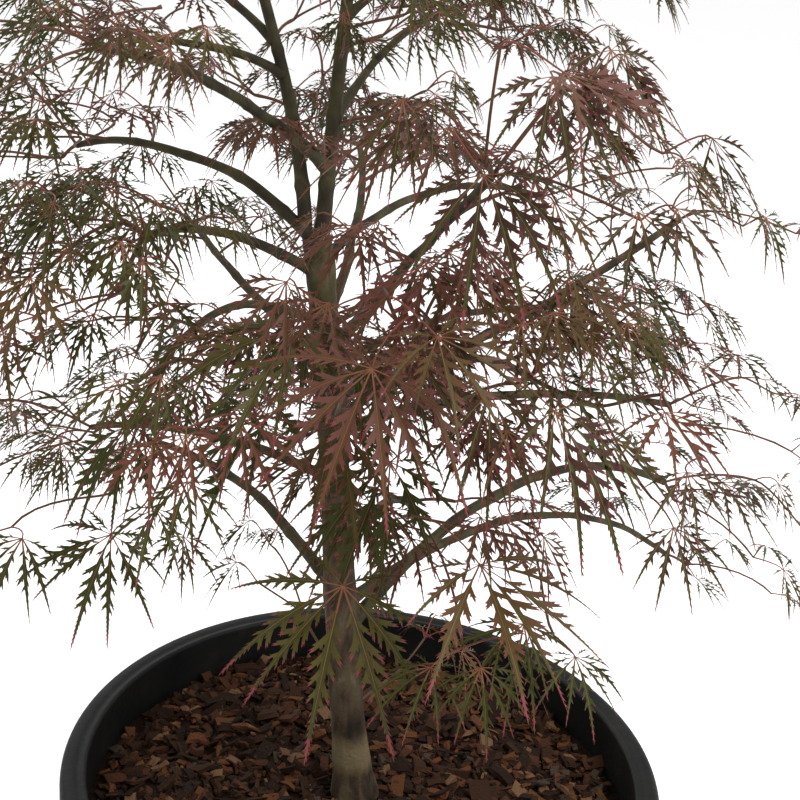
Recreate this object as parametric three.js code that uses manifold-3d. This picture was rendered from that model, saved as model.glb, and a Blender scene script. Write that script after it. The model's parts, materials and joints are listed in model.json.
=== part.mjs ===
// A young laceleaf Japanese maple growing in a round nursery pot: the pot, the bark mulch that fills it, a
// leaning trunk that forks into two leaders, the boughs, and the drooping pads of foliage that they carry.
// Millimetres, +Z up. The origin is the centre of the pot's flat underside, and -Y is the side to look from.

import * as THREE from 'three';
import { mergeVertices } from 'three/addons/utils/BufferGeometryUtils.js';
import Module from 'manifold-3d';

const wasm = await Module();
wasm.setup();

// ---- Driving dimensions ----

const GAP = 0.3; // between neighbouring solids

const POT = {
  height: 290,
  rimRadius: 175, // outside of the lip
  baseRadius: 131,
  wall: 3,
  floor: 4,
  lipHeight: 25,
  lipOverhang: 12, // how far the lip stands out from the wall
  lipRounding: 5,
  footChamfer: 3,
  sides: 32,
};

const MULCH = {
  top: 267, // its level at the trunk, below the rim
  seatRadius: 24, // flat ground round the trunk's foot
  sag: 5, // how far it lies lower near the wall
  bump: 2.5, // height of its unevenness
  bumpsRound: 5,
};

const TRUNK = {
  footX: -4,
  forkX: -44,
  forkHeight: 603,
  flareRadius: 14.5, // at the root flare
  flareHeight: 22,
  flareLobes: 3,
  flareLobeDepth: 0.12,
  footRadius: 10.9, // just above the flare
  forkRadius: 7,
  sway: -1, // slow bend to either side of its straight line
};

// A leader carries on up from the fork. lean is how far its tip stands off the fork, and rise its height
// above it.
const LEADERS = {
  left_leader: { startX: -7, lean: [-62, -6], rise: 196, bow: 10, radii: [3.9, 1.6] },
  right_leader: { startX: 1.5, lean: [14, 8], rise: 232, bow: 4, radii: [4.4, 1.6] },
};

// A bough leaves its parent limb at the height `from`, heads off at `heading` (degrees, counter-clockwise
// from +X), and ends `reach` out and `rise` up. `arch` lifts its middle, and `bow` bends it to its left.
// Its foliage is a pad, with its middle `past` the bough's end and `lift` above it, `size` long, wide and
// deep, and its outer edge hangs down by `droop`.
const BOUGHS = {
  left_middle: {
    parent: 'trunk', from: 603, heading: 165, reach: 136, rise: 32, arch: 22, bow: 4, radii: [3.2, 1.7],
    foliage: { past: 42, lift: 6, size: [150, 140, 66], droop: 30 },
  },
  left_forward: {
    parent: 'trunk', from: 586, heading: 228, reach: 112, rise: 40, arch: 10, bow: -12, radii: [3, 1.7],
    foliage: { past: 44, lift: 6, size: [120, 118, 58], droop: 34 },
  },
  left_low_forward: {
    parent: 'trunk', from: 560, heading: 236, reach: 132, rise: -4, arch: 22, bow: -14, radii: [2.6, 1.5],
    foliage: { past: 34, lift: -30, size: [130, 112, 60], droop: 62 },
  },
  left_low_back: {
    parent: 'trunk', from: 396, heading: 140, reach: 158, rise: 40, arch: 14, bow: -6, radii: [3.7, 2],
    foliage: { past: 42, lift: -2, size: [140, 130, 58], droop: 36 },
  },
  left_low_side: {
    parent: 'trunk', from: 470, heading: 178, reach: 134, rise: 18, arch: 16, bow: 8, radii: [2.8, 1.6],
    foliage: { past: 44, lift: -8, size: [126, 112, 54], droop: 44 },
  },
  left_back: {
    parent: 'trunk', from: 528, heading: 128, reach: 150, rise: 46, arch: 10, bow: 10, radii: [3, 1.7],
    foliage: { past: 42, lift: 0, size: [140, 140, 60], droop: 34 },
  },
  left_high_forward: {
    parent: 'right_leader', from: 642, heading: 243, reach: 178, rise: 80, arch: 12, bow: -4, radii: [3, 1.8],
    foliage: { past: 24, lift: 10, size: [130, 140, 60], droop: 34 },
  },
  left_high: {
    parent: 'left_leader', from: 686, heading: 182, reach: 82, rise: 10, arch: 8, bow: 6, radii: [2.4, 1.5],
    foliage: { past: 44, lift: 4, size: [128, 110, 58], droop: 30 },
  },
  left_high_back: {
    parent: 'left_leader', from: 702, heading: 136, reach: 122, rise: 36, arch: 8, bow: 6, radii: [2.3, 1.4],
    foliage: { past: 34, lift: 2, size: [130, 130, 58], droop: 30 },
  },
  front_middle: {
    parent: 'trunk', from: 490, heading: 284, reach: 158, rise: 118, arch: 14, bow: -6, radii: [3.2, 1.8],
    foliage: { past: 40, lift: 22, size: [128, 132, 54], droop: 34 },
  },
  front_left: {
    parent: 'trunk', from: 516, heading: 263, reach: 158, rise: 82, arch: 16, bow: 6, radii: [2.8, 1.6],
    foliage: { past: 38, lift: 8, size: [128, 128, 54], droop: 48 },
  },
  front_right: {
    parent: 'trunk', from: 505, heading: 301, reach: 172, rise: 94, arch: 20, bow: 6, radii: [2.8, 1.6],
    foliage: { past: 38, lift: 12, size: [134, 124, 54], droop: 46 },
  },
  front_low: {
    parent: 'trunk', from: 424, heading: 286, reach: 140, rise: 98, arch: 20, bow: 4, radii: [2.7, 1.6],
    foliage: { past: 52, lift: 0, size: [124, 140, 50], droop: 50 },
  },
  front_high: {
    parent: 'trunk', from: 546, heading: 291, reach: 188, rise: 144, arch: -4, bow: -4, radii: [3.3, 1.7],
    foliage: { past: 40, lift: 22, size: [138, 150, 62], droop: 42 },
  },
  right_low: {
    parent: 'trunk', from: 374, heading: 22, reach: 196, rise: 78, arch: 44, bow: 4, radii: [3.6, 2.1],
    foliage: { past: 50, lift: -16, size: [140, 106, 50], droop: 52 },
  },
  right_low_back: {
    parent: 'trunk', from: 392, heading: 33, reach: 244, rise: -20, arch: 46, bow: -6, radii: [3, 1.6],
    foliage: { past: 50, lift: -20, size: [112, 100, 42], droop: 26 },
  },
  right_middle: {
    parent: 'trunk', from: 500, heading: 21, reach: 204, rise: 2, arch: 12, bow: 4, radii: [3.2, 1.8],
    foliage: { past: 50, lift: -4, size: [130, 108, 54], droop: 36 },
  },
  right_inner: {
    parent: 'trunk', from: 535, heading: 30, reach: 138, rise: 22, arch: 6, bow: 10, radii: [2.6, 1.6],
    foliage: { past: 46, lift: -8, size: [136, 122, 58], droop: 34 },
  },
  right_back: {
    parent: 'trunk', from: 520, heading: 36, reach: 240, rise: 74, arch: -16, bow: 6, radii: [3.6, 2],
    foliage: { past: 38, lift: 8, size: [144, 146, 60], droop: 26 },
  },
  right_high: {
    parent: 'trunk', from: 592, heading: 42, reach: 158, rise: 18, arch: 18, bow: 12, radii: [2.6, 1.5],
    foliage: { past: 44, lift: 28, size: [140, 130, 58], droop: 34 },
  },
  back_low: {
    parent: 'trunk', from: 436, heading: 92, reach: 136, rise: 34, arch: 16, bow: 8, radii: [3, 1.7],
    foliage: { past: 44, lift: -6, size: [132, 148, 56], droop: 42 },
  },
  back_middle: {
    parent: 'trunk', from: 560, heading: 88, reach: 144, rise: 62, arch: 10, bow: -8, radii: [3, 1.7],
    foliage: { past: 44, lift: 0, size: [140, 150, 60], droop: 36 },
  },
  top_back: {
    parent: 'right_leader', from: 662, heading: 58, reach: 104, rise: 50, arch: 6, bow: 8, radii: [2.6, 1.5],
    foliage: { past: 40, lift: 0, size: [140, 136, 62], droop: 38 },
  },
  top_forward: {
    parent: 'right_leader', from: 726, heading: 282, reach: 84, rise: 52, arch: 8, bow: 6, radii: [2.2, 1.4],
    foliage: { past: 36, lift: 4, size: [124, 128, 56], droop: 34 },
  },
  top_right: {
    parent: 'right_leader', from: 716, heading: 8, reach: 84, rise: 44, arch: 10, bow: 4, radii: [2.2, 1.4],
    foliage: { past: 32, lift: 4, size: [108, 112, 54], droop: 30 },
  },
};

// The pads that the two leaders' own tips carry.
const CROWNS = {
  left_leader: { heading: 180, shift: [-16, 0, 12], size: [134, 128, 70], droop: 34 },
  right_leader: { heading: 20, shift: [8, 4, 14], size: [142, 136, 72], droop: 38 },
};

const BOUGH_SIDES = 6;
const BOUGH_STEPS = 6;
const LEADER_STEPS = 9;
const TRUNK_SIDES = 12;
const TRUNK_STEPS = 12;
const PAD_DETAIL = 2; // how finely a pad of foliage is faceted
const PAD_UNEVENNESS = 0.16; // the pads' bumps, as a share of their size

const POT_MATERIAL = { color: 0x1d1f21, roughness: 0.55, metalness: 0 };
const MULCH_MATERIAL = { color: 0x3a2219, roughness: 0.95, metalness: 0 };
const BARK_MATERIAL = { color: 0x5c5646, roughness: 0.85, metalness: 0 };
const BOUGH_MATERIAL = { color: 0x55533a, roughness: 0.8, metalness: 0 };
const LEAF_MATERIAL = { color: 0x4f3236, roughness: 0.7, metalness: 0 };

// ---- Solids: joining and cutting ----

function toSolid(geometry) {
  const bare = geometry.clone();
  bare.deleteAttribute('normal');
  bare.deleteAttribute('uv');
  const merged = mergeVertices(bare, 1e-4);
  const vertProperties = new Float32Array(merged.attributes.position.array);
  const triVerts = new Uint32Array(merged.index.array);
  return new wasm.Manifold(new wasm.Mesh({ numProp: 3, vertProperties, triVerts }));
}

function toGeometry(solid) {
  const mesh = solid.getMesh();
  const geometry = new THREE.BufferGeometry();
  geometry.setAttribute('position', new THREE.BufferAttribute(mesh.vertProperties, 3));
  geometry.setIndex(new THREE.BufferAttribute(mesh.triVerts, 1));
  geometry.computeVertexNormals();
  return geometry;
}

// The largest piece of a solid that a cut may have left in several.
function largestPiece(solid) {
  return solid.decompose().reduce((best, piece) => (piece.volume() > best.volume() ? piece : best));
}

function cut(solid, cutters) {
  return largestPiece(cutters.reduce((rest, cutter) => rest.subtract(cutter), solid));
}

// ---- Limbs ----

function radians(degrees) {
  return THREE.MathUtils.degToRad(degrees);
}

// A smooth curve given by a function of t from 0 at its root to 1 at its tip.
class LimbCurve extends THREE.Curve {
  constructor(pointAt) {
    super();
    this.pointAt = pointAt;
  }

  getPoint(t, target = new THREE.Vector3()) {
    return target.copy(this.pointAt(t));
  }
}

// A closed round limb along a curve: a cylinder bent to it, of radiusAt(t, angle) and grown by `extra`.
function limbGeometry(curve, radiusAt, steps, sides, extra = 0) {
  const geometry = new THREE.CylinderGeometry(1, 1, 1, sides, steps);
  const { normals, binormals } = curve.computeFrenetFrames(steps, false);
  const position = geometry.attributes.position;
  for (let i = 0; i < position.count; i += 1) {
    const t = position.getY(i) + 0.5;
    const ring = Math.round(t * steps);
    const radius = radiusAt(t, Math.atan2(position.getZ(i), position.getX(i))) + extra;
    const vertex = curve.getPointAt(t);
    vertex.addScaledVector(binormals[ring], position.getX(i) * radius);
    vertex.addScaledVector(normals[ring], position.getZ(i) * radius);
    position.setXYZ(i, vertex.x, vertex.y, vertex.z);
  }
  return geometry;
}

// The trunk's rings are level, so that its foot is cut flat at the ground.
function trunkPoint(height) {
  const t = (height - MULCH.top) / (TRUNK.forkHeight - MULCH.top);
  const x = THREE.MathUtils.lerp(TRUNK.footX, TRUNK.forkX, t) + TRUNK.sway * Math.sin(2 * Math.PI * t);
  return new THREE.Vector3(x, TRUNK.sway * Math.sin(3 * Math.PI * t), height);
}

function trunkRadius(t, angle) {
  const height = t * (TRUNK.forkHeight - MULCH.top);
  const stem = THREE.MathUtils.lerp(TRUNK.footRadius, TRUNK.forkRadius, Math.sqrt(t) * 0.4 + t * 0.6);
  const flare = (TRUNK.flareRadius - TRUNK.footRadius) * Math.exp(-3 * (height / TRUNK.flareHeight) ** 2);
  return stem + flare * (1 + TRUNK.flareLobeDepth * Math.cos(TRUNK.flareLobes * angle));
}

function trunkGeometry(extra = 0) {
  const geometry = new THREE.CylinderGeometry(1, 1, 1, TRUNK_SIDES, TRUNK_STEPS);
  geometry.rotateX(Math.PI / 2);
  const position = geometry.attributes.position;
  const foot = MULCH.top + GAP;
  for (let i = 0; i < position.count; i += 1) {
    const t = position.getZ(i) + 0.5;
    const radius = trunkRadius(t, Math.atan2(position.getY(i), position.getX(i))) + extra;
    const centre = trunkPoint(THREE.MathUtils.lerp(foot - extra, TRUNK.forkHeight + extra, t));
    const x = centre.x + position.getX(i) * radius;
    const y = centre.y + position.getY(i) * radius;
    position.setXYZ(i, x, y, centre.z);
  }
  return geometry;
}

function leaderCurve({ startX, lean, rise, bow }) {
  const fork = trunkPoint(TRUNK.forkHeight);
  return new LimbCurve((t) => new THREE.Vector3(
    fork.x + startX * Math.sqrt(t < 0.04 ? t / 0.04 : 1) * (1 - t) + lean[0] * t ** 1.4,
    fork.y + lean[1] * t + bow * Math.sin(Math.PI * t),
    fork.z + rise * t,
  ));
}

// The point of a parent limb at a given height, where a bough leaves it.
function pointOnParent(parent, height) {
  if (parent === 'trunk') return trunkPoint(height);
  const leader = LEADERS[parent];
  return leaderCurve(leader).getPoint((height - TRUNK.forkHeight) / leader.rise);
}

function boughCurve({ parent, from, heading, reach, rise, arch, bow }) {
  const root = pointOnParent(parent, from);
  const out = new THREE.Vector3(Math.cos(radians(heading)), Math.sin(radians(heading)), 0);
  const left = new THREE.Vector3(-out.y, out.x, 0);
  return new LimbCurve((t) => {
    const hump = 4 * t * (1 - t);
    const point = root.clone().addScaledVector(out, reach * t).addScaledVector(left, bow * hump);
    point.z += rise * t + arch * hump;
    return point;
  });
}

function taper([root, tip]) {
  return (t) => THREE.MathUtils.lerp(root, tip, t);
}

// ---- Foliage ----

// A smooth unevenness between -1 and 1 in every direction, of its own for each pad.
function unevenness(direction, seed) {
  const { x, y, z } = direction;
  const ridges = Math.sin(3.1 * x + 1.7 * seed) * Math.cos(2.7 * y + 2.3 * seed);
  const bumps = Math.sin(4.3 * y - 3.3 * z + 3.1 * seed) * Math.cos(3.9 * x + 1.3 * seed);
  return 0.6 * ridges + 0.4 * bumps;
}

// A drooping pad of foliage round `centre`, long in the direction of `heading`.
function padGeometry({ centre, size, droop, heading, seed }, extra = 0) {
  const geometry = new THREE.IcosahedronGeometry(1, PAD_DETAIL);
  const position = geometry.attributes.position;
  const direction = new THREE.Vector3();
  for (let i = 0; i < position.count; i += 1) {
    direction.fromBufferAttribute(position, i).normalize();
    const swell = 1 + PAD_UNEVENNESS * unevenness(direction, seed);
    const along = direction.x * (size[0] / 2 + extra) * swell;
    const across = direction.y * (size[1] / 2 + extra) * swell;
    const hang = droop * (direction.x ** 2 * (direction.x > 0 ? 1 : 0.3) + 0.5 * direction.y ** 2);
    position.setXYZ(i, along, across, direction.z * (size[2] / 2 + extra) * swell - hang);
  }
  geometry.rotateZ(radians(heading));
  geometry.translate(centre.x, centre.y, centre.z);
  return geometry;
}

// ---- Pot and mulch ----

function wallRadius(height) {
  const wallTop = POT.height - POT.lipHeight;
  const topRadius = POT.rimRadius - POT.lipOverhang;
  return THREE.MathUtils.lerp(POT.baseRadius, topRadius, height / wallTop);
}

function potGeometry() {
  const lipBottom = POT.height - POT.lipHeight;
  const lipInner = POT.rimRadius - POT.lipOverhang - POT.wall;
  const rounding = POT.lipRounding;
  const profile = [
    [0, 0],
    [POT.baseRadius - POT.footChamfer, 0],
    [POT.baseRadius, POT.footChamfer],
    [wallRadius(lipBottom), lipBottom],
    [POT.rimRadius - rounding / 3, lipBottom],
    [POT.rimRadius, lipBottom + rounding / 3],
    [POT.rimRadius, POT.height - rounding],
    [POT.rimRadius - rounding, POT.height],
    [lipInner + rounding / 2, POT.height],
    [lipInner, POT.height - rounding / 2],
    [lipInner, lipBottom],
    [wallRadius(POT.floor) - POT.wall, POT.floor],
    [0, POT.floor],
  ];
  const lathe = new THREE.LatheGeometry(profile.map(([r, z]) => new THREE.Vector2(r, z)), POT.sides);
  return lathe.rotateX(Math.PI / 2);
}

// The mulch has as many sides as the pot, so that its facets lie along the pot's.
function mulchGeometry() {
  const floor = POT.floor + GAP;
  const edgeHeight = MULCH.top - MULCH.sag;
  const floorRadius = wallRadius(floor) - POT.wall - GAP;
  const edgeRadius = wallRadius(edgeHeight) - POT.wall - GAP;
  const bumpRadius = (MULCH.seatRadius + edgeRadius) / 2;
  const profile = [
    [0, floor],
    [floorRadius, floor],
    [edgeRadius, edgeHeight],
    [bumpRadius, MULCH.top - MULCH.sag / 2],
    [MULCH.seatRadius, MULCH.top],
    [0, MULCH.top],
  ];
  const lathe = new THREE.LatheGeometry(profile.map(([r, z]) => new THREE.Vector2(r, z)), POT.sides);
  const geometry = lathe.rotateX(Math.PI / 2);
  const position = geometry.attributes.position;
  for (let i = 0; i < position.count; i += 1) {
    const [x, y, z] = [position.getX(i), position.getY(i), position.getZ(i)];
    const isBumpRing = z > edgeHeight + 1 && Math.abs(Math.hypot(x, y) - bumpRadius) < 1;
    if (isBumpRing) position.setZ(i, z + MULCH.bump * Math.sin(MULCH.bumpsRound * Math.atan2(y, x)));
  }
  return geometry;
}

// ---- Assembly ----

const maple = new THREE.Group();

function addMesh(name, geometry, material) {
  const mesh = new THREE.Mesh(geometry, new THREE.MeshStandardMaterial(material));
  mesh.name = name;
  maple.add(mesh);
}

addMesh('pot', potGeometry(), POT_MATERIAL);
addMesh('bark_mulch', mulchGeometry(), MULCH_MATERIAL);
addMesh('trunk', trunkGeometry(), BARK_MATERIAL);

// Where each pad of foliage lies: at the end of its bough, or at the tip of a leader.
const pads = {};
for (const [place, bough] of Object.entries(BOUGHS)) {
  const { foliage: { past, lift, size, droop }, heading } = bough;
  const centre = boughCurve(bough).getPoint(1);
  centre.x += past * Math.cos(radians(heading));
  centre.y += past * Math.sin(radians(heading));
  centre.z += lift;
  pads[place] = { centre, size, droop, heading };
}
for (const [place, { shift, size, droop, heading }] of Object.entries(CROWNS)) {
  const centre = leaderCurve(LEADERS[place]).getPoint(1).add(new THREE.Vector3(...shift));
  pads[place] = { centre, size, droop, heading };
}
Object.values(pads).forEach((pad, index) => {
  pad.seed = index + 1;
});

// A limb is cut by the limbs before it and ends at its own pad. A copy grown by the gap cuts what comes
// later.
const limbCutters = { trunk: toSolid(trunkGeometry(GAP)) };

function addLimb(name, place, curve, radiusAt, steps, material) {
  const solid = toSolid(limbGeometry(curve, radiusAt, steps, BOUGH_SIDES));
  const ownPad = toSolid(padGeometry(pads[place], GAP));
  addMesh(name, toGeometry(cut(solid, [...Object.values(limbCutters), ownPad])), material);
  limbCutters[place] = toSolid(limbGeometry(curve, radiusAt, steps, BOUGH_SIDES, GAP));
}

for (const [name, leader] of Object.entries(LEADERS)) {
  addLimb(name, name, leaderCurve(leader), taper(leader.radii), LEADER_STEPS, BARK_MATERIAL);
}
for (const [place, bough] of Object.entries(BOUGHS)) {
  addLimb(`bough_${place}`, place, boughCurve(bough), taper(bough.radii), BOUGH_STEPS, BOUGH_MATERIAL);
}

// A pad gives way to the pads before it and to every limb but its own.
const padCutters = [];
for (const [place, pad] of Object.entries(pads)) {
  const otherLimbs = Object.entries(limbCutters).filter(([limb]) => limb !== place);
  const cutters = [...otherLimbs.map(([, solid]) => solid), ...padCutters];
  addMesh(`foliage_${place}`, toGeometry(cut(toSolid(padGeometry(pad)), cutters)), LEAF_MATERIAL);
  padCutters.push(toSolid(padGeometry(pad, GAP)));
}

export default maple;
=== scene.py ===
"""A young laceleaf Japanese maple in a round nursery pot, built round the CAD frame.

Trunk and boughs are rebuilt with their bark. Each pad of foliage is replaced by twigs that a seeded rule
grows on from the end of its bough, and every twig carries pairs of stalked, finely cut leaves.
"""

import json
import math

import bpy
import numpy as np
from mathutils import Matrix, Vector, noise
from mathutils.bvhtree import BVHTree

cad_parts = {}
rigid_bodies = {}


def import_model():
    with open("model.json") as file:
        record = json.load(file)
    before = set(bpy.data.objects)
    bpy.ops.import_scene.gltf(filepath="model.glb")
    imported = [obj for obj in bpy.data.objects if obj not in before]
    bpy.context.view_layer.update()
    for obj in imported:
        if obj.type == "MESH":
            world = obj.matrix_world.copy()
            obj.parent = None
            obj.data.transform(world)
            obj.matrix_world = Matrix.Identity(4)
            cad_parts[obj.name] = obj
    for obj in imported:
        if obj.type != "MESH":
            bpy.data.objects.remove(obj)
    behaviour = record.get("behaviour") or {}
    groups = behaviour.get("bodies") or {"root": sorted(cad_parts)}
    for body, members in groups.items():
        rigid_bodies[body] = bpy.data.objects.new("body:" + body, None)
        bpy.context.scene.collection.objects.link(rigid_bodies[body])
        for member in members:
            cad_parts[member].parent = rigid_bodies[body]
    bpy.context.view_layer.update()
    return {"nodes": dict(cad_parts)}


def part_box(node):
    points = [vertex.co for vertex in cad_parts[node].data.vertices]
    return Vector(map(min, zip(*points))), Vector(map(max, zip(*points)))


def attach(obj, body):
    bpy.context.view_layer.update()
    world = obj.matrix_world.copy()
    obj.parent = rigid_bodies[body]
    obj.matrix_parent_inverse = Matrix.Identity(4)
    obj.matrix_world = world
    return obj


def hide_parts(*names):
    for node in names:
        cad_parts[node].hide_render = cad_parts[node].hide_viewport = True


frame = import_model()

MM = 0.001
SEED = 11
UP = np.array([0.0, 0.0, 1.0])
LEVEL = np.array([1.0, 1.0, 0.0])  # times a direction, gives its level part

# ---- Camera and light ----

CAMERA_AT = (0.0038, -0.7287, 0.8292)
CAMERA_PITCH = math.radians(22.9)  # looking down
CAMERA_ROLL = math.radians(4.81)
FIELD_OF_VIEW = math.radians(30)
LAMPS = (("key", (1.2, -0.9, 2.4), 1.0, 44), ("back", (-0.9, 1.8, 1.9), 1.8, 20))  # place, size (m), watts
LIT_POINT = (0, 0, 0.5)

# ---- Limbs, in millimetres and degrees, as in the CAD source ----

GROUND = 267
TRUNK = {
    "foot_x": -4, "fork_x": -44, "fork_height": 603, "flare": 14.5, "flare_height": 22, "lobes": 3,
    "lobe_depth": 0.12, "foot_radius": 10.9, "fork_radius": 7, "sway": -1,
}
LEADERS = {
    "left_leader": {"start_x": -7, "lean": (-62, -6), "rise": 196, "bow": 10, "radii": (3.9, 1.6)},
    "right_leader": {"start_x": 1.5, "lean": (14, 8), "rise": 232, "bow": 4, "radii": (4.4, 1.6)},
}
# parent, height on it, heading, reach, rise, arch, bow, root and tip radius
BOUGHS = {
    "left_middle": ("trunk", 603, 165, 136, 32, 22, 4, 3.2, 1.7),
    "left_forward": ("trunk", 586, 228, 112, 40, 10, -12, 3, 1.7),
    "left_low_forward": ("trunk", 560, 236, 132, -4, 22, -14, 2.6, 1.5),
    "left_low_back": ("trunk", 396, 140, 158, 40, 14, -6, 3.7, 2),
    "left_low_side": ("trunk", 470, 178, 134, 18, 16, 8, 2.8, 1.6),
    "left_back": ("trunk", 528, 128, 150, 46, 10, 10, 3, 1.7),
    "left_high_forward": ("right_leader", 642, 243, 178, 80, 12, -4, 3, 1.8),
    "left_high": ("left_leader", 686, 182, 82, 10, 8, 6, 2.4, 1.5),
    "left_high_back": ("left_leader", 702, 136, 122, 36, 8, 6, 2.3, 1.4),
    "front_middle": ("trunk", 490, 284, 158, 118, 14, -6, 3.2, 1.8),
    "front_left": ("trunk", 516, 263, 158, 82, 16, 6, 2.8, 1.6),
    "front_right": ("trunk", 505, 301, 172, 94, 20, 6, 2.8, 1.6),
    "front_low": ("trunk", 424, 286, 140, 98, 20, 4, 2.7, 1.6),
    "front_high": ("trunk", 546, 291, 188, 144, -4, -4, 3.3, 1.7),
    "right_low": ("trunk", 374, 22, 196, 78, 44, 4, 3.6, 2.1),
    "right_low_back": ("trunk", 392, 33, 244, -20, 46, -6, 3, 1.6),
    "right_middle": ("trunk", 500, 21, 204, 2, 12, 4, 3.2, 1.8),
    "right_inner": ("trunk", 535, 30, 138, 22, 6, 10, 2.6, 1.6),
    "right_back": ("trunk", 520, 36, 240, 74, -16, 6, 3.6, 2),
    "right_high": ("trunk", 592, 42, 158, 18, 18, 12, 2.6, 1.5),
    "back_low": ("trunk", 436, 92, 136, 34, 16, 8, 3, 1.7),
    "back_middle": ("trunk", 560, 88, 144, 62, 10, -8, 3, 1.7),
    "top_back": ("right_leader", 662, 58, 104, 50, 6, 8, 2.6, 1.5),
    "top_forward": ("right_leader", 726, 282, 84, 52, 8, 6, 2.2, 1.4),
    "top_right": ("right_leader", 716, 8, 84, 44, 10, 4, 2.2, 1.4),
}

# ---- Bark ----

BROWN_BARK = (
    (0.32, (0.012, 0.007, 0.004)), (0.44, (0.032, 0.019, 0.010)), (0.54, (0.054, 0.036, 0.020)),
    (0.64, (0.062, 0.046, 0.024)), (0.76, (0.120, 0.092, 0.056)),
)
GREEN_BARK = (
    (0.30, (0.012, 0.008, 0.004)), (0.44, (0.028, 0.021, 0.009)), (0.58, (0.042, 0.037, 0.012)),
    (0.74, (0.090, 0.066, 0.036)),
)
# The pale band near the foot: partly the lower bark's own grey-tan, partly a painted highlight of the lit
# foot below the crown's shade.
PALE_BARK_AND_HIGHLIGHT = (0.170, 0.130, 0.066)
GREEN_ABOVE = 150  # mm over the soil, from where the trunk turns green towards its fork
PALE_AND_HIGHLIGHT_BAND = ((17, 0), (26, 0.65), (36, 0.65), (46, 0))  # mm over the soil, and the share of pale bark with its painted highlight

GRAFT = {"height": 26, "half_length": 12, "swell": 0.9}  # the healed graft on the trunk, in mm
COLLAR = {"half_length": 9, "swell": 1.6}  # where a bough leaves the trunk, in mm
BUD_RING = {"half_length": 2.2, "swell": 0.16}  # in mm, and as a share of the limb's radius
LEADER_BUDS = {"first": 30, "spacing": 34, "last": 240}  # mm along a limb
BOUGH_BUDS = {"first": 24, "spacing": 29, "last": 300}
BOUGH_WANDER = 2.2  # mm off its even curve

# ---- Foliage ----

# Each region's leaves are one piece, which stands in for the region's pads. leaf is the length of a leaf's
# middle lobe and spacing the distance between leafy twig nodes, both in mm. shoots is how many side shoots
# each bough carries, and tints the shares of the blade tints that its sprays take, in BLADE_TINTS' order.
REGIONS = {
    "left": {
        "pads": (
            "left_middle", "left_forward", "left_low_forward",
            "left_low_back", "left_low_side", "left_back",
        ),
        "leaf": 44, "spacing": 38, "shoots": 2, "tints": (6, 5, 3, 2, 1, 1),
    },
    "left_high": {
        "pads": ("left_high_forward", "left_high", "left_high_back", "left_leader"),
        "leaf": 40, "spacing": 38, "shoots": 2, "tints": (6, 4, 3, 2, 2, 1),
    },
    "front": {
        "pads": ("front_middle", "front_left", "front_right", "front_low", "front_high"),
        "leaf": 47, "spacing": 24, "shoots": 2, "tints": (3, 1, 4, 5, 4, 2),
    },
    "right": {
        "pads": ("right_low", "right_low_back", "right_middle", "right_inner", "right_back", "right_high"),
        "leaf": 42, "spacing": 37, "shoots": 1, "tints": (4, 4, 4, 2, 1, 1),
    },
    "back": {
        "pads": ("back_low", "back_middle"),
        "leaf": 44, "spacing": 30, "shoots": 2, "tints": (4, 4, 3, 2, 1, 1),
    },
    "top": {
        "pads": ("top_back", "top_forward", "top_right", "right_leader"),
        "leaf": 42, "spacing": 33, "shoots": 1, "tints": (3, 3, 4, 3, 2, 1),
    },
}

# The leaves nearest the viewer, given one by one: where the lobes meet (mm), the middle lobe's length (mm),
# the heading and downward tilt (degrees) that it sets off with, and its tint.
NEAR_LEAVES = {
    "left_forward": [
        (-146, -170, 632, 48, 262, 42, "brown"), (-102, -110, 605, 38, 262, 48, "bronze_green"),
        (-131, -110, 572, 36, 205, 25, "bronze_green"), (-172, -120, 584, 42, 252, 44, "brown"),
        (-152, -120, 590, 40, 216, 50, "olive"),
    ],
    "left_low_side": [(-192, -50, 522, 36, 205, 24, "olive")],
    "left_low_forward": [
        (-112, -140, 558, 56, 236, 46, "bronze_green"), (-118, -150, 509, 54, 236, 52, "bronze_green"),
        (-149, -80, 542, 36, 195, 20, "olive"),
    ],
    "left_high_forward": [(-112, -122, 725, 34, 250, 30, "brown")],
    "front_left": [
        (-38, -200, 631, 76, 212, 26, "olive"), (-46, -200, 600, 74, 216, 38, "bronze_green"),
        (-60, -186, 622, 46, 190, 10, "brown"),
    ],
    "front_middle": [
        (-7, -238, 633, 66, 242, 52, "purple"), (15, -238, 647, 54, 318, 26, "brown"),
        (2, -172, 566, 72, 240, 52, "bronze_green"), (2, -214, 634, 44, 262, 60, "dark_purple"),
        (7, -215, 631, 62, 308, 46, "purple"), (37, -210, 616, 54, 290, 58, "dark_purple"),
        (-21, -170, 580, 60, 250, 58, "brown"), (-10, -170, 545, 52, 264, 60, "olive"),
    ],
    "front_right": [(61, -220, 615, 64, 318, 36, "dark_purple"), (80, -206, 604, 56, 336, 34, "olive")],
    "front_low": [(40, -218, 547, 74, 316, 16, "brown"), (-13, -200, 522, 74, 256, 56, "olive")],
    "front_high": [
        (26, -222, 702, 56, 296, 46, "dark_purple"), (47, -256, 745, 50, 338, 12, "purple"),
        (-7, -170, 703, 48, 216, 36, "purple"),
    ],
}

# Pads that are denser or more open than the rest of their region: the space between leafy nodes, in mm.
PAD_SPACING = {
    "left_forward": 24, "left_high_forward": 48, "left_high": 50, "left_low_back": 42, "left_low_side": 46,
    "left_low_forward": 42, "left_back": 44, "left_high_back": 38, "front_low": 40, "front_high": 36,
    "right_back": 52, "right_high": 50, "right_middle": 42, "right_low": 43, "right_low_back": 42,
    "right_inner": 27, "top_right": 42, "top_forward": 22, "top_back": 27, "back_middle": 24,
    "back_low": 23,
}

PLACES_TRIED = 2500  # in each pad, for its twig nodes
MOST_NODES = 18  # in one pad
# How far out in a pad nodes grow, as a share of the reach of the outermost place where leaves would fit.
OUTERMOST_NODE = 0.88
PAD_OUTERMOST = {"left_low_forward": 0.72, "front_high": 0.66, "top_right": 0.8, "right_back": 0.78}
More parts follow.
